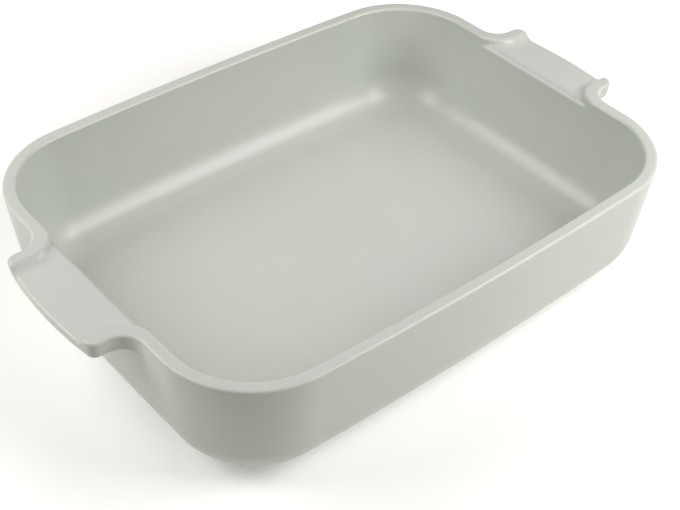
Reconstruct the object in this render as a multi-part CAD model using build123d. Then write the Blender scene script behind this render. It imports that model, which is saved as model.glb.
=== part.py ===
from build123d import *
import math
import os

os.makedirs("parts", exist_ok=True)

# Lasagna dish in millimetres: a deep rectangular stoneware basin with a lug handle at each end.
# The origin is under the middle of the dish, on the surface that it stands on.
# X runs from handle to handle, Y across the dish and Z up.

# Rim, measured over its outer walls where they meet its top
rim_length = 353.7
rim_width = 265.9
rim_height = 80.5
rim_thickness = 8.1
rim_edge_radius = 2.0
end_bow = 1.4
side_bow = 4.9
corner_radius = 58.7

# Walls and floor
wall_draft = 6.1
bottom_radius = 28.0
cove_radius = 26.0
floor_thickness = 7.5

# Foot ring under the floor
foot_height = 1.5
foot_width = 6.0
foot_inset = 3.0

# Handles: a lug at each end, with a sunk platform between two lips that run out of the rim.
# A handle fills the end wall but for its necks and the plain stretch between neck and corner.
handle_reach = 25.1
neck_radius = 12.5
neck_inner_radius = 16.8
plain_stretch = 12.8
handle_bow = 3.6
handle_corner_radius = 6.5
handle_depth = 11.2
handle_under_radius = 2.0
platform_drop = 5.0
platform_outer_radius = 2.6
platform_inner_radius = 3.4
lip_width = 8.3

# How much of the end wall goes with a handle, past its necks, behind the wall and under the lug
seat_margin = 7.2

# Thickness of the glaze, square to the clay
glaze = 0.4

# How far a cutting shape runs past what it cuts
overrun = 20.0

# Heights and places closer than this are the same
match = 0.001

slope = math.tan(math.radians(wall_draft))
steepness = math.cos(math.radians(wall_draft))
floor_height = foot_height + floor_thickness
handle_span = rim_length + 2 * handle_reach
handle_width = rim_width - 2 * (side_bow + corner_radius + plain_stretch + neck_radius)


def outer_inset(skin):
    """How far the outer form's plan moves in, skin below the rim and skin inside the surface."""
    return skin * slope + skin / steepness


def inner_inset(skin):
    """How far the hollow's plan moves in, skin below the rim and skin behind the surface."""
    return skin * slope - skin / steepness


def rim_plan(inset):
    """The rim's outline moved in by inset: four shallow arcs with rounded corners."""
    half_length = rim_length / 2 - inset
    half_width = rim_width / 2 - inset
    corner_x = half_length - end_bow
    corner_y = half_width - side_bow
    with BuildSketch() as plan:
        with BuildLine():
            ThreePointArc((corner_x, -corner_y), (half_length, 0), (corner_x, corner_y))
            ThreePointArc((corner_x, corner_y), (0, half_width), (-corner_x, corner_y))
            ThreePointArc((-corner_x, corner_y), (-half_length, 0), (-corner_x, -corner_y))
            ThreePointArc((-corner_x, -corner_y), (0, -half_width), (corner_x, -corner_y))
        make_face()
    return fillet(plan.vertices(), corner_radius - inset)


def lug_plan(inset):
    """Both handles as one strip across the dish, with bowed ends."""
    end_x = handle_span / 2 - inset
    corner_x = end_x - handle_bow
    side_y = handle_width / 2 - inset
    with BuildSketch() as plan:
        with BuildLine():
            ThreePointArc((corner_x, -side_y), (end_x, 0), (corner_x, side_y))
            Line((corner_x, side_y), (-corner_x, side_y))
            ThreePointArc((-corner_x, side_y), (-end_x, 0), (-corner_x, -side_y))
            Line((-corner_x, -side_y), (corner_x, -side_y))
        make_face()
    return fillet(plan.vertices(), handle_corner_radius - inset)


def drafted(plan, top, bottom):
    """A plan at the height top, drawn down to bottom with the walls' draft."""
    form = extrude(plan, amount=top - bottom, taper=wall_draft)
    return Pos(0, 0, top) * Rot(180, 0, 0) * form


def joined(rim, strip, radius):
    """Two drafted forms in one, with the upright inside corners between them rounded."""
    form = rim + strip
    return fillet(new_edges(rim, strip, combined=form), radius)


def band(skin):
    """The rim and both handles as one solid form, skin inside the surface."""
    top = rim_height - skin
    under = rim_height - handle_depth + skin
    inset = outer_inset(skin)
    rim = drafted(rim_plan(inset), top, under)
    lugs = drafted(lug_plan(inset), top, under)
    form = joined(rim, lugs, neck_radius + skin)
    return fillet(edges_at(form, under), handle_under_radius - skin)


def gap(skin):
    """The hollow and the gaps between the lips, which run out past the handles."""
    top = rim_height - skin
    bottom = rim_height - handle_depth - overrun
    inset = inner_inset(skin)
    hollow = drafted(rim_plan(rim_thickness + inset), top, bottom)
    half_width = handle_width / 2 - lip_width - inset
    strip = drafted(Rectangle(handle_span + 2 * overrun, 2 * half_width), top, bottom)
    return joined(hollow, strip, neck_inner_radius - skin)


def edges_at(shape, height):
    """The edges of a shape that lie level at one height."""
    boxes = [(edge, edge.bounding_box()) for edge in shape.edges()]
    return [
        edge for edge, box in boxes
        if abs(box.min.Z - height) < match and abs(box.max.Z - height) < match
    ]


def below(shape, height):
    """What lies under one height."""
    return split(shape, Plane.XY.offset(height), keep=Keep.BOTTOM)


def bowl(inset, top, bottom, radius):
    """A rim plan at the height top, drawn down to a floor with a round edge."""
    form = drafted(rim_plan(inset), top, bottom)
    return fillet(edges_at(form, bottom), radius)


def flared(hollow, height, radius):
    """A hollow that opens at one height, with the edge of its mouth rounded."""
    above = Box(
        handle_span + 4 * overrun, rim_width + 4 * overrun, overrun,
        align=(Align.CENTER, Align.CENTER, Align.MIN))
    form = hollow + Pos(0, 0, height) * above
    shelf = form.faces().filter_by(Axis.Z).sort_by(Axis.Z)[-2]
    return fillet(shelf.inner_wires()[0].edges(), radius)


def basin(skin):
    """The basin and the plate of each handle, up to the platforms."""
    top = rim_height - skin
    platform = top - platform_drop
    tub = bowl(outer_inset(skin), top, foot_height + skin, bottom_radius - skin)
    plate = below(band(skin), platform)
    plate = fillet(edges_at(plate, platform), platform_outer_radius - skin)
    cavity = bowl(rim_thickness + inner_inset(skin), top, floor_height - skin, cove_radius + skin)
    hollow = flared(below(cavity, platform), platform, platform_inner_radius - skin)
    return below(tub, platform) + plate - hollow


def rim_rails(skin):
    """The two halves of the rim, each with a lip at both ends."""
    top = rim_height - skin
    rounded = fillet(edges_at(band(skin), top), rim_edge_radius - skin)
    rails = rounded - flared(gap(skin), top, rim_edge_radius - skin)
    rail = rails.solids().sort_by(Axis.Y)[-1]
    return rail, mirror(rail, Plane.XZ)


def dish(skin):
    """The whole dish but its foot, skin inside the glazed surface."""
    body = basin(skin)
    for rail in rim_rails(skin):
        body = body.fuse(rail, tol=match)
    return body


def foot_ring():
    """The bare ring that the dish stands on."""
    flat_inset = (rim_height - foot_height) * slope
    flat_inset += bottom_radius * math.tan(math.radians((90 - wall_draft) / 2))
    outer = rim_plan(flat_inset + foot_inset)
    inner = rim_plan(flat_inset + foot_inset + foot_width)
    return extrude(outer - inner, amount=foot_height + glaze)


def handle_seat():
    """The block at the right end that holds a handle and the wall that is one piece with it."""
    inner_end = rim_length / 2 - rim_thickness - seat_margin
    half_width = handle_width / 2 + neck_radius + seat_margin
    bottom = rim_height - handle_depth - seat_margin
    seat = Box(
        handle_span / 2 - inner_end + overrun, 2 * half_width, rim_height - bottom + overrun,
        align=(Align.MIN, Align.CENTER, Align.MIN))
    return Pos(inner_end, 0, bottom) * seat


def inner_zone():
    """All that lies inside the middle of the wall, the floor and the rim."""
    middle = foot_height + floor_thickness / 2
    return bowl(rim_thickness / 2, rim_height, middle, (bottom_radius + cove_radius) / 2)


def make_parts():
    """Every piece of the dish, by name."""
    clay = dish(glaze)
    foot = foot_ring()
    coat = dish(0) - clay - foot
    right_seat = handle_seat()
    left_seat = mirror(right_seat, Plane.YZ)
    coat_between = coat - right_seat - left_seat
    base_coat, outer_coat = (coat_between - inner_zone()).solids().sort_by(SortBy.VOLUME)
    return {
        "stoneware_basin": clay - right_seat - left_seat,
        "foot_ring": foot,
        "right_handle": clay & right_seat,
        "left_handle": clay & left_seat,
        "inner_glaze": coat_between & inner_zone(),
        "outer_glaze": outer_coat,
        "base_glaze": base_coat,
        "right_handle_glaze": coat & right_seat,
        "left_handle_glaze": coat & left_seat,
    }


for name, shape in make_parts().items():
    export_step(shape, f"parts/{name}.step")
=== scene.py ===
import math

import bmesh
import bpy
import numpy as np
from mathutils import Matrix, Vector


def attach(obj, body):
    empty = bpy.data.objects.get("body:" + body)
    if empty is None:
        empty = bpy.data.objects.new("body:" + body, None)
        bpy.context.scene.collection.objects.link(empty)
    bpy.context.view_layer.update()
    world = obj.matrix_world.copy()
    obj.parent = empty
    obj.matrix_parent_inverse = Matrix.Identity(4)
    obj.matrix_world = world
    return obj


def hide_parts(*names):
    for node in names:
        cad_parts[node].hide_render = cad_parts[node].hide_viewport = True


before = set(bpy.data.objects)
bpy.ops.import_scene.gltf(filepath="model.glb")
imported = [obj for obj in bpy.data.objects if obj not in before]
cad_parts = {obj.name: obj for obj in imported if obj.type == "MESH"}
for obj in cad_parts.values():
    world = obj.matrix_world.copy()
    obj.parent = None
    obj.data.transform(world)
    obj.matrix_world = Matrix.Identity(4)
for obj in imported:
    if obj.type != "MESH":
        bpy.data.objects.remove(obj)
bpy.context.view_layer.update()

# Metres, in the CAD frame: X runs from handle to handle, Y across the dish and Z up.
MM = 0.001

# Rim, over its outer walls where they meet its top
RIM_LENGTH = 353.7 * MM
RIM_WIDTH = 265.9 * MM
RIM_HEIGHT = 80.5 * MM
RIM_THICKNESS = 8.1 * MM
RIM_EDGE_RADIUS = 2.0 * MM
END_BOW = 1.4 * MM
SIDE_BOW = 4.9 * MM
CORNER_RADIUS = 58.7 * MM

# Walls and floor
WALL_DRAFT = math.radians(6.1)
BOTTOM_RADIUS = 28.0 * MM
COVE_RADIUS = 26.0 * MM
BASE_HEIGHT = 1.5 * MM
FLOOR_HEIGHT = 9.0 * MM

# Handles
HANDLE_REACH = 25.0 * MM
HANDLE_WIDTH = 88.1 * MM
HANDLE_BOW = 3.6 * MM
HANDLE_CORNER_RADIUS = 6.5 * MM
HANDLE_DEPTH = 11.2 * MM
HANDLE_UNDER_RADIUS = 2.0 * MM
HANDLE_ROOT_RADIUS = 5.0 * MM
NECK_RADIUS = 12.5 * MM
NECK_INNER_RADIUS = 16.8 * MM
LIP_WIDTH = 8.3 * MM
LIP_FOOT_RADIUS = 7.0 * MM
PLATFORM_INNER_DROP = 3.7 * MM
PLATFORM_OUTER_DROP = 5.0 * MM
PLATFORM_INNER_RADIUS = 5.0 * MM

# Where the glaze is split: round the handles, and under the middle of the foot ring
SEAT_MARGIN = 7.2 * MM
FOOT_LINE = 39.4 * MM

# Mesh: cell size, share of the faces kept, what counts as on a plane of symmetry and as one point
GRID = 1.0 * MM
THINNING = 0.3
SNAP = GRID / 20
WELD = 0.05 * MM
DEGENERATE = WELD / 10

# Steps over which the field's slope and its turn at an edge are measured, and its least slope
PROBE = 0.01 * MM
EDGE_STEP = 0.5 * MM
LEAST_SLOPE = 0.1

# Linear colours: the glaze where it lies thick, pools, is specked and breaks over an edge; the cream over
# edges is glaze break and also painted highlight
GLAZE_PALE = (0.645, 0.667, 0.612)
GLAZE_DEEP = (0.625, 0.652, 0.587)
GLAZE_SPECK = (0.56, 0.58, 0.51)
GLAZE_BREAK_AND_HIGHLIGHT = (0.73, 0.715, 0.62)

# Linear colours of the fired clay and of the floor
CLAY = (0.78, 0.72, 0.62)
CLAY_SHADE = (0.73, 0.66, 0.55)
CLAY_GRAIN = (0.62, 0.54, 0.43)
FLOOR_COLOUR = (0.96, 0.93, 0.90)

# Noise, in features per metre: clouds, specks, wear, gloss and dimples of the glaze, and the clay's
GLAZE_CLOUDS = 14
GLAZE_SPECKS = 900
GLAZE_WEAR = 60
GLAZE_GLOSS = 40
GLAZE_DIMPLES = 260
CLAY_CLOUDS = 45
CLAY_GRAINS = 1400

# Finish: roughness from least to most, and depth of the relief
GLAZE_ROUGHNESS = (0.285, 0.31)
GLAZE_RELIEF = 0.05 * MM
CLAY_ROUGHNESS = (0.72, 0.86)
CLAY_RELIEF = 0.12 * MM

# Where the camera stands, how it turns, and what it takes in
CAMERA_PLACE = (-398.46 * MM, -458.79 * MM, 532.96 * MM)
CAMERA_AZIMUTH = math.radians(-42.58)
CAMERA_ELEVATION = math.radians(40.64)
CAMERA_ROLL = math.radians(2.93)
SENSOR = 36.0
LENS = 66.90
SHIFT_X = -0.0349
SHIFT_Y = -0.0085
CLIP = (0.05, 50)

# Studio floor: half its width, its glow beside the dish and far off, and where that change lies
ROOM = 4.0
FLOOR_GLOW = (0.29, 1.0)
GLOW_REACH = (0.2, 0.5)

# Light: from all round, and lamps by azimuth from the X axis, elevation, distance, size and power
AMBIENT = 0.06
RIGHT_LAMP = (-51, 43, 0.8, 0.5, 4.55)
LEFT_LAMP = (146, 43, 0.8, 0.5, 3.5)

SLOPE = math.tan(WALL_DRAFT)
STEEPNESS = math.cos(WALL_DRAFT)


def round_union(a, b, radius):
    """Distance to two forms together, with the inside corner between them filled to a radius."""
    near_a = np.maximum(radius - a, 0)
    near_b = np.maximum(radius - b, 0)
    return np.maximum(radius, np.minimum(a, b)) - np.hypot(near_a, near_b)


def round_overlap(a, b, radius):
    """Distance to what two forms share, with the outside corner between them rounded."""
    near_a = np.maximum(radius + a, 0)
    near_b = np.maximum(radius + b, 0)
    return np.minimum(-radius, np.maximum(a, b)) + np.hypot(near_a, near_b)


def eased_overlap(a, b, radius, share):
    """The same, with only a share of the rounding."""
    sharp = np.maximum(a, b)
    return sharp + (round_overlap(a, b, radius) - sharp) * share


def bow_circle(half_chord, bow):
    """Radius of a shallow arc."""
    return (half_chord ** 2 + bow ** 2) / (2 * bow)


def rim_distance(x, y, inset):
    """Distance outside the rim's outline moved in by inset, for x and y not below zero."""
    half_length = RIM_LENGTH / 2 - inset
    half_width = RIM_WIDTH / 2 - inset
    radius = CORNER_RADIUS - inset
    end_radius = bow_circle(half_width - SIDE_BOW, END_BOW)
    side_radius = bow_circle(half_length - END_BOW, SIDE_BOW)
    end_x = half_length - end_radius
    side_y = half_width - side_radius
    # The corner's circle touches both arcs from inside
    span = math.hypot(end_x, side_y)
    from_end = end_radius - radius
    from_side = side_radius - radius
    along = (from_end ** 2 - from_side ** 2 + span ** 2) / (2 * span)
    aside = math.sqrt(from_end ** 2 - along ** 2)
    toward_x, toward_y = -end_x / span, side_y / span
    corner_x = end_x + along * toward_x - aside * toward_y
    corner_y = along * toward_y + aside * toward_x
    to_x = x - corner_x
    to_y = y - corner_y
    past_end = (corner_x - end_x) * to_y - corner_y * to_x
    past_side = to_x * (corner_y - side_y) - to_y * corner_x
    end = np.hypot(x - end_x, y) - end_radius
    side = np.hypot(x, y - side_y) - side_radius
    corner = np.hypot(to_x, to_y) - radius
    return np.where(past_end <= 0, end, np.where(past_side <= 0, side, corner))


def lug_distance(x, y):
    """Distance outside a handle's outline."""
    half_width = HANDLE_WIDTH / 2
    radius = bow_circle(half_width, HANDLE_BOW)
    end_x = RIM_LENGTH / 2 + HANDLE_REACH - radius
    end = np.hypot(x - end_x, y) - radius
    # The end meets the side at less than a right angle, which a smaller ease rounds as far
    meeting = math.pi / 2 - math.asin(half_width / radius)
    ease = HANDLE_CORNER_RADIUS * (1 - math.cos(meeting / 2)) / (1 - math.cos(math.pi / 4))
    return round_overlap(end, y - half_width, ease)


def bowl_distance(outline, z, floor, radius):
    """Distance outside a drafted form with a rounded floor, from the distance outside its rim."""
    wall = (outline + (RIM_HEIGHT - z) * SLOPE) * STEEPNESS
    centre_z = floor + radius
    centre = -radius / STEEPNESS - (RIM_HEIGHT - centre_z) * SLOPE
    across = outline - centre
    up = z - centre_z
    in_arc = (across >= 0) & (across * math.sin(WALL_DRAFT) + up * STEEPNESS <= 0)
    return np.where(in_arc, np.hypot(across, up) - radius, np.maximum(wall, floor - z))


def fade(gap):
    """0 where two surfaces are one, 1 where they are well apart."""
    return np.clip(gap / (2 * RIM_THICKNESS), 0, 1)


def dish_distance(x, y, z):
    """Distance outside the glazed dish, less its foot ring."""
    x = np.abs(x)
    y = np.abs(y)
    fall = (RIM_HEIGHT - z) * SLOPE

    rim = rim_distance(x, y, 0)
    rim_wall = (rim + fall) * STEEPNESS
    outline = round_union(rim, lug_distance(x, y), NECK_RADIUS)
    wall = (outline + fall) * STEEPNESS
    tub = bowl_distance(rim, z, BASE_HEIGHT, BOTTOM_RADIUS)
    above_under = RIM_HEIGHT - HANDLE_DEPTH - z
    body = round_union(tub, above_under, HANDLE_ROOT_RADIUS)
    body = eased_overlap(wall, body, HANDLE_UNDER_RADIUS, fade(rim_wall - wall))
    body = round_overlap(body, z - RIM_HEIGHT, RIM_EDGE_RADIUS)

    inner_rim = rim_distance(x, y, RIM_THICKNESS)
    half_gap = HANDLE_WIDTH / 2 - LIP_WIDTH
    gap = round_union(inner_rim, y - half_gap, NECK_INNER_RADIUS)
    gap_wall = (gap + fall) * STEEPNESS
    hollow = bowl_distance(inner_rim, z, FLOOR_HEIGHT, COVE_RADIUS)
    fall_out = (PLATFORM_OUTER_DROP - PLATFORM_INNER_DROP) / (HANDLE_REACH + RIM_THICKNESS)
    beyond = x - (RIM_LENGTH / 2 - RIM_THICKNESS)
    platform = RIM_HEIGHT - PLATFORM_INNER_DROP - fall_out * beyond
    room = round_union(hollow, platform - z, PLATFORM_INNER_RADIUS)
    room = eased_overlap(gap_wall, room, LIP_FOOT_RADIUS, fade(hollow - gap_wall))
    return round_overlap(body, -room, RIM_EDGE_RADIUS)


def slope_of(field, points, step):
    """Gradient of a distance field at points."""
    parts = []
    for axis in range(3):
        offset = np.zeros(3)
        offset[axis] = step
        ahead = field(*(points + offset).T)
        behind = field(*(points - offset).T)
        parts.append((ahead - behind) / (2 * step))
    return np.stack(parts, axis=1)


def settle(field, points, rounds):
    """Points moved onto the surface where a distance field is zero."""
    for _ in range(rounds):
        slope = slope_of(field, points, PROBE)
        size = np.maximum((slope ** 2).sum(axis=1, keepdims=True), LEAST_SLOPE)
        points = points - field(*points.T)[:, None] * slope / size
    return points


def net(field, low, counts, size):
    """Quads over the surface of a distance field: one vertex in each grid cell that it crosses."""
    axes = [low[i] + size * np.arange(counts[i]) for i in range(3)]
    x, y = np.meshgrid(axes[0], axes[1], indexing="ij")
    inside = np.empty(counts, bool)
    for k, z in enumerate(axes[2]):
        inside[:, :, k] = field(x, y, np.full_like(x, z)) < 0
    corners = [
        inside[i:counts[0] - 1 + i, j:counts[1] - 1 + j, k:counts[2] - 1 + k]
        for i in (0, 1) for j in (0, 1) for k in (0, 1)
    ]
    total = sum(corner.astype(np.int8) for corner in corners)
    crossed = (total > 0) & (total < 8)
    index = np.full(crossed.shape, -1)
    index[crossed] = np.arange(crossed.sum())
    points = (np.argwhere(crossed) + 0.5) * size + np.array(low)
    quads = []
    for axis in range(3):
        turned = np.moveaxis(inside, axis, 0)
        cells = np.moveaxis(index, axis, 0)
        start = turned[:-1, 1:-1, 1:-1]
        found = np.argwhere(start != turned[1:, 1:-1, 1:-1])
        i, j, k = found.T
        ring = [cells[i, j, k], cells[i, j + 1, k], cells[i, j + 1, k + 1], cells[i, j, k + 1]]
        quad = np.stack(ring, axis=1)
        out = start[i, j, k]
        if axis == 1:
            out = ~out
        quads.append(np.where(out[:, None], quad, quad[:, ::-1]))
    return points, np.concatenate(quads)


def thinned(points, quads, ratio):
    """The same surface with fewer faces, as points and triangles."""
    mesh = bpy.data.meshes.new("thinning")
    mesh.from_pydata(points, [], quads)
    holder = bpy.data.objects.new("thinning", mesh)
    bpy.context.collection.objects.link(holder)
    fewer = holder.modifiers.new("fewer", "DECIMATE")
    fewer.ratio = ratio
    result = holder.evaluated_get(bpy.context.evaluated_depsgraph_get()).to_mesh()
    result.calc_loop_triangles()
    points = np.empty(len(result.vertices) * 3)
    result.vertices.foreach_get("co", points)
    triangles = np.empty(len(result.loop_triangles) * 3, int)
    result.loop_triangles.foreach_get("vertices", triangles)
    bpy.data.objects.remove(holder)
    bpy.data.meshes.remove(mesh)
    return points.reshape(-1, 3), triangles.reshape(-1, 3)


def on_planes(points):
    """Points beside the two planes of symmetry put onto them."""
    near = np.abs(points[:, :2]) < SNAP
    points[:, :2][near] = 0
    return points


def cut(points, triangles, field):
    """Splits the triangles that a seam crosses, and tells which of them are inside it."""
    value = field(*points.T)
    inside = value < 0
    count = inside[triangles].sum(axis=1)
    whole = triangles[(count == 0) | (count == 3)]
    split = triangles[(count == 1) | (count == 2)]
    flags = inside[split]
    lone = np.where(flags.sum(axis=1) == 1, flags.argmax(axis=1), (~flags).argmax(axis=1))
    row = np.arange(len(split))
    a, b, c = (split[row, (lone + turn) % 3] for turn in range(3))
    ends = np.concatenate([np.stack([a, b], axis=1), np.stack([a, c], axis=1)])
    edges, which = np.unique(np.sort(ends, axis=1), axis=0, return_inverse=True)
    first, second = value[edges].T
    share = (first / (first - second))[:, None]
    here = points[edges[:, 0]] * (1 - share) + points[edges[:, 1]] * share
    for _ in range(3):
        normal = slope_of(dish_distance, here, PROBE)
        normal /= np.linalg.norm(normal, axis=1, keepdims=True)
        toward = slope_of(field, here, PROBE)
        toward -= (toward * normal).sum(axis=1, keepdims=True) * normal
        size = np.maximum((toward ** 2).sum(axis=1, keepdims=True), LEAST_SLOPE)
        here = settle(dish_distance, here - field(*here.T)[:, None] * toward / size, 1)
    which = which.reshape(-1) + len(points)
    on_ab, on_ac = which[:len(split)], which[len(split):]
    points = np.concatenate([points, on_planes(here)])
    tips = np.stack([a, on_ab, on_ac], axis=1)
    bases = np.concatenate([np.stack([on_ab, b, c], axis=1), np.stack([on_ab, c, on_ac], axis=1)])
    triangles = np.concatenate([whole, tips, bases])
    kept = np.concatenate([inside[whole[:, 0]], inside[a], ~inside[a], ~inside[a]])
    return points, triangles, kept


def handle_zone(x, y, z):
    """Distance outside the block that a handle's glaze covers."""
    inner_end = RIM_LENGTH / 2 - RIM_THICKNESS - SEAT_MARGIN
    half_width = HANDLE_WIDTH / 2 + NECK_RADIUS + SEAT_MARGIN
    bottom = RIM_HEIGHT - HANDLE_DEPTH - SEAT_MARGIN
    return np.maximum(np.maximum(inner_end - x, y - half_width), bottom - z)


def inner_zone(x, y, z):
    """Distance outside the middle of the wall, the floor and the rim."""
    outline = rim_distance(x, y, RIM_THICKNESS / 2)
    middle = (BASE_HEIGHT + FLOOR_HEIGHT) / 2
    return bowl_distance(outline, z, middle, (BOTTOM_RADIUS + COVE_RADIUS) / 2)


def base_zone(x, y, z):
    """Distance outside the line under the middle of the foot ring, on the underside alone."""
    return np.maximum(rim_distance(x, y, FOOT_LINE), z - (BASE_HEIGHT + FLOOR_HEIGHT) / 2)


def quarter_dish():
    """Points and triangles of a quarter of the dish, by zone."""
    low = (-GRID / 2, -GRID / 2, BASE_HEIGHT - 1.5 * GRID)
    high = (RIM_LENGTH / 2 + HANDLE_REACH, RIM_WIDTH / 2, RIM_HEIGHT)
    counts = [math.ceil((high[i] - low[i]) / GRID) + 2 for i in range(3)]
    points, quads = net(dish_distance, low, counts, GRID)
    points = on_planes(settle(dish_distance, points, 5))
    points, triangles = thinned(points, quads, THINNING)
    points = on_planes(settle(dish_distance, points, 3))
    zones = {}
    for name, field in (("handle", handle_zone), ("inner", inner_zone), ("base", base_zone)):
        points, triangles, kept = cut(points, triangles, field)
        zones[name] = triangles[kept]
        triangles = triangles[~kept]
    zones["outer"] = triangles
    return points, zones


def edge_share(points):
    """How sharply the surface turns outward at points: 0 where flat or hollow, 1 on a rim edge."""
    turn = -6 * dish_distance(*points.T)
    for axis in range(3):
        offset = np.zeros(3)
        offset[axis] = EDGE_STEP
        turn += dish_distance(*(points + offset).T) + dish_distance(*(points - offset).T)
    return np.clip(turn / EDGE_STEP ** 2 * RIM_EDGE_RADIUS, 0, 1)


def linked(thing):
    """Puts an object in the scene."""
    bpy.context.collection.objects.link(thing)
    return thing


def glaze_piece(name, node, points, triangles, quarters, material):
    """A piece of the glaze, from its faces in each quarter of the dish that it covers."""
    used, faces = np.unique(triangles, return_inverse=True)
    faces = faces.reshape(-1, 3)
    places = np.concatenate([points[used] * (x, y, 1) for x, y in quarters])
    turned = [faces if x * y > 0 else faces[:, ::-1] for x, y in quarters]
    rings = np.concatenate([ring + len(used) * i for i, ring in enumerate(turned)])
    mesh = bpy.data.meshes.new(name)
    mesh.from_pydata(places, [], rings)
    surface = bmesh.new()
    surface.from_mesh(mesh)
    bmesh.ops.remove_doubles(surface, verts=surface.verts, dist=WELD)
    bmesh.ops.dissolve_degenerate(surface, edges=surface.edges, dist=DEGENERATE)
    surface.to_mesh(mesh)
    surface.free()
    places = np.empty(len(mesh.vertices) * 3)
    mesh.vertices.foreach_get("co", places)
    places = places.reshape(-1, 3)
    mesh.attributes.new("edge", "FLOAT", "POINT").data.foreach_set("value", edge_share(places))
    mesh.polygons.foreach_set("use_smooth", np.ones(len(mesh.polygons), bool))
    mesh.normals_split_custom_set_from_vertices(slope_of(dish_distance, places, PROBE))
    mesh.materials.append(material)
    piece = linked(bpy.data.objects.new(name, mesh))
    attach(piece, "root")
    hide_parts(node)
    return piece


def material_of(name):
    """A new material, its node tree and its shader."""
    material = bpy.data.materials.new(name)
    material.use_nodes = True
    return material, material.node_tree, material.node_tree.nodes["Principled BSDF"]


def noise(tree, scale, detail):
    """Noise over the object's own coordinates, in features per metre."""
    place = tree.nodes.new("ShaderNodeTexCoord")
    node = tree.nodes.new("ShaderNodeTexNoise")
    node.inputs["Scale"].default_value = scale
    node.inputs["Detail"].default_value = detail
    tree.links.new(place.outputs["Object"], node.inputs["Vector"])
    return node.outputs["Fac"]


def ramp(tree, value, low, high, from_value=0.0, to_value=1.0):
    """A value carried smoothly from one range to another."""
    node = tree.nodes.new("ShaderNodeMapRange")
    node.interpolation_type = "SMOOTHSTEP"
    node.inputs["From Min"].default_value = low
    node.inputs["From Max"].default_value = high
    node.inputs["To Min"].default_value = from_value
    node.inputs["To Max"].default_value = to_value
    tree.links.new(value, node.inputs["Value"])
    return node.outputs["Result"]


def times(tree, a, b):
    """The product of two values."""
    node = tree.nodes.new("ShaderNodeMath")
    node.operation = "MULTIPLY"
    tree.links.new(a, node.inputs[0])
    tree.links.new(b, node.inputs[1])
    return node.outputs["Value"]


def blended(tree, share, a, b):
    """A colour between two, each a colour or an output."""
    node = tree.nodes.new("ShaderNodeMix")
    node.data_type = "RGBA"
    tree.links.new(share, node.inputs["Factor"])
    for socket, colour in ((node.inputs["A"], a), (node.inputs["B"], b)):
        if isinstance(colour, tuple):
            socket.default_value = (*colour, 1)
        else:
            tree.links.new(colour, socket)
    return node.outputs["Result"]


def bumped(tree, shader, height, distance, strength):
    """Gives a shader fine relief."""
    node = tree.nodes.new("ShaderNodeBump")
    node.inputs["Distance"].default_value = distance
    node.inputs["Strength"].default_value = strength
    tree.links.new(height, node.inputs["Height"])
    tree.links.new(node.outputs["Normal"], shader.inputs["Normal"])


def glaze_material():
    """Satin grey-green glaze, clouded at random between two tones, specked, and cream where it breaks over
    an edge; that cream also paints highlight along the rounded edges.
    """
    material, tree, shader = material_of("satin_glaze")
    cloud = ramp(tree, noise(tree, GLAZE_CLOUDS, 2), 0.3, 0.7)
    pooled = blended(tree, cloud, GLAZE_DEEP, GLAZE_PALE)
    speck = ramp(tree, noise(tree, GLAZE_SPECKS, 2), 0.62, 0.8, 0, 0.25)
    specked = blended(tree, speck, pooled, GLAZE_SPECK)
    edge = tree.nodes.new("ShaderNodeAttribute")
    edge.attribute_name = "edge"
    # Cream where the glaze breaks over a rounded edge, which also paints highlight along those edges
    break_and_highlight = ramp(tree, edge.outputs["Fac"], 0.55, 1.0)
    worn = ramp(tree, noise(tree, GLAZE_WEAR, 3), 0.25, 0.7, 0.3, 0.9)
    colour = blended(tree, times(tree, break_and_highlight, worn), specked, GLAZE_BREAK_AND_HIGHLIGHT)
    gloss = ramp(tree, noise(tree, GLAZE_GLOSS, 2), 0.3, 0.7, *GLAZE_ROUGHNESS)
    tree.links.new(colour, shader.inputs["Base Color"])
    tree.links.new(gloss, shader.inputs["Roughness"])
    bumped(tree, shader, noise(tree, GLAZE_DIMPLES, 2), GLAZE_RELIEF, 0.25)
    return material


def clay_material(name):
    """Fired stoneware: matte and finely grained."""
    material, tree, shader = material_of(name)
    grain = noise(tree, CLAY_GRAINS, 3)
    cloud = noise(tree, CLAY_CLOUDS, 3)
    toned = blended(tree, ramp(tree, cloud, 0.3, 0.7), CLAY, CLAY_SHADE)
    grained = blended(tree, ramp(tree, grain, 0.58, 0.7, 0, 0.5), toned, CLAY_GRAIN)
    tree.links.new(grained, shader.inputs["Base Color"])
    tree.links.new(ramp(tree, grain, 0.3, 0.7, *CLAY_ROUGHNESS), shader.inputs["Roughness"])
    bumped(tree, shader, grain, CLAY_RELIEF, 0.5)
    return material


def floor_material():
    """White floor, which glows to the camera, and more so away from the dish and its shadow."""
    material, tree, shader = material_of("studio_floor")
    tree.nodes.remove(shader)
    rays = tree.nodes.new("ShaderNodeLightPath")
    matte = tree.nodes.new("ShaderNodeBsdfDiffuse")
    matte.inputs["Color"].default_value = (*FLOOR_COLOUR, 1)
    glow = tree.nodes.new("ShaderNodeEmission")
    place = tree.nodes.new("ShaderNodeTexCoord")
    away = tree.nodes.new("ShaderNodeVectorMath")
    away.operation = "LENGTH"
    tree.links.new(place.outputs["Object"], away.inputs[0])
    strength = ramp(tree, away.outputs["Value"], *GLOW_REACH, *FLOOR_GLOW)
    tree.links.new(times(tree, seen_share(tree, rays), strength), glow.inputs["Strength"])
    both = tree.nodes.new("ShaderNodeAddShader")
    tree.links.new(matte.outputs["BSDF"], both.inputs[0])
    tree.links.new(glow.outputs["Emission"], both.inputs[1])
    tree.links.new(both.outputs["Shader"], tree.nodes["Material Output"].inputs["Surface"])
    return material


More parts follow.
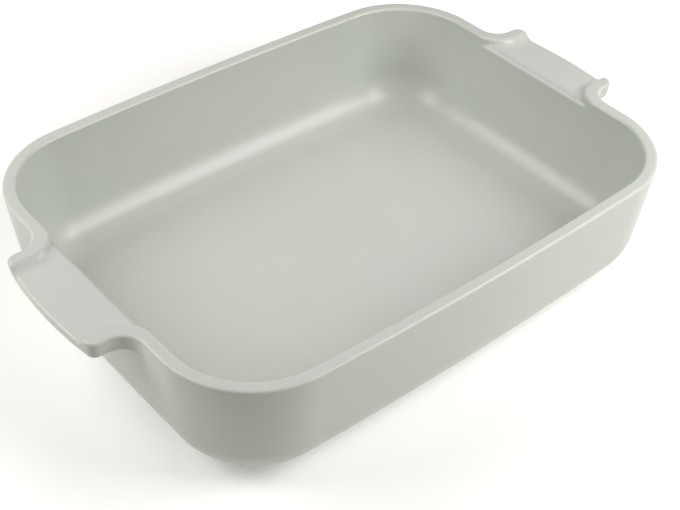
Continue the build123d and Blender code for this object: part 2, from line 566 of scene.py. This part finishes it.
def seen_share(tree, rays):
    """1 for rays from the camera, directly or by gloss or glass."""
    node = tree.nodes.new("ShaderNodeMath")
    node.operation = "MAXIMUM"
    tree.links.new(rays.outputs["Is Camera Ray"], node.inputs[0])
    tree.links.new(rays.outputs["Is Glossy Ray"], node.inputs[1])
    glass = tree.nodes.new("ShaderNodeMath")
    glass.operation = "MAXIMUM"
    tree.links.new(node.outputs["Value"], glass.inputs[0])
    tree.links.new(rays.outputs["Is Transmission Ray"], glass.inputs[1])
    return glass.outputs["Value"]


def make_floor():
    """The surface that the dish stands on."""
    mesh = bpy.data.meshes.new("studio_floor")
    corners = [(x * ROOM, y * ROOM, 0) for x, y in ((-1, -1), (1, -1), (1, 1), (-1, 1))]
    mesh.from_pydata(corners, [], [(0, 1, 2, 3)])
    mesh.materials.append(floor_material())
    linked(bpy.data.objects.new("studio_floor", mesh))


def make_world():
    """White all round to the camera, and a dim soft light from it."""
    world = bpy.data.worlds.new("studio")
    bpy.context.scene.world = world
    world.use_nodes = True
    tree = world.node_tree
    rays = tree.nodes.new("ShaderNodeLightPath")
    sky = tree.nodes["Background"]
    sky.inputs["Color"].default_value = (1, 1, 1, 1)
    tree.links.new(ramp(tree, seen_share(tree, rays), 0, 1, AMBIENT, 1), sky.inputs["Strength"])


def make_lamp(name, azimuth, elevation, distance, size, power):
    """A square soft light that faces the dish."""
    lamp = bpy.data.lights.new(name, "AREA")
    lamp.size = size
    lamp.energy = power
    across = math.cos(math.radians(elevation))
    toward = Vector((
        math.cos(math.radians(azimuth)) * across,
        math.sin(math.radians(azimuth)) * across,
        math.sin(math.radians(elevation))))
    holder = linked(bpy.data.objects.new(name, lamp))
    holder.location = toward * distance
    holder.rotation_mode = "QUATERNION"
    holder.rotation_quaternion = toward.to_track_quat("Z", "Y")


def make_camera():
    """The camera at the photograph's viewpoint."""
    camera = bpy.data.cameras.new("camera")
    camera.sensor_width = SENSOR
    camera.lens = LENS
    camera.shift_x = SHIFT_X
    camera.shift_y = SHIFT_Y
    camera.clip_start, camera.clip_end = CLIP
    right = Vector((math.cos(CAMERA_AZIMUTH), math.sin(CAMERA_AZIMUTH), 0))
    level = math.cos(CAMERA_ELEVATION)
    back = Vector((
        math.sin(CAMERA_AZIMUTH) * level, -math.cos(CAMERA_AZIMUTH) * level, math.sin(CAMERA_ELEVATION)))
    turn = Matrix.Rotation(CAMERA_ROLL, 3, back)
    right = turn @ right
    up = back.cross(right)
    holder = linked(bpy.data.objects.new("camera", camera))
    facing = Matrix((right, up, back)).transposed()
    holder.matrix_world = Matrix.Translation(CAMERA_PLACE) @ facing.to_4x4()
    bpy.context.scene.camera = holder


def make_dish():
    """The glaze over the clay, and the clay's own finish."""
    points, zones = quarter_dish()
    glaze = glaze_material()
    everywhere = ((1, 1), (-1, 1), (-1, -1), (1, -1))
    glaze_piece("inner_surface", "inner_glaze", points, zones["inner"], everywhere, glaze)
    glaze_piece("outer_surface", "outer_glaze", points, zones["outer"], everywhere, glaze)
    glaze_piece("base_surface", "base_glaze", points, zones["base"], everywhere, glaze)
    right, left = ((1, 1), (1, -1)), ((-1, 1), (-1, -1))
    glaze_piece("right_handle_surface", "right_handle_glaze", points, zones["handle"], right, glaze)
    glaze_piece("left_handle_surface", "left_handle_glaze", points, zones["handle"], left, glaze)
    body = clay_material("fired_clay")
    bare = clay_material("bare_clay")
    for name, material in (
            ("stoneware_basin", body), ("right_handle", body), ("left_handle", body), ("foot_ring", bare)):
        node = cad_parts[name]
        node.data.materials.clear()
        node.data.materials.append(material)


bpy.context.scene.view_settings.view_transform = "Standard"
make_dish()
make_floor()
make_world()
make_lamp("right_lamp", *RIGHT_LAMP)
make_lamp("left_lamp", *LEFT_LAMP)
make_camera()
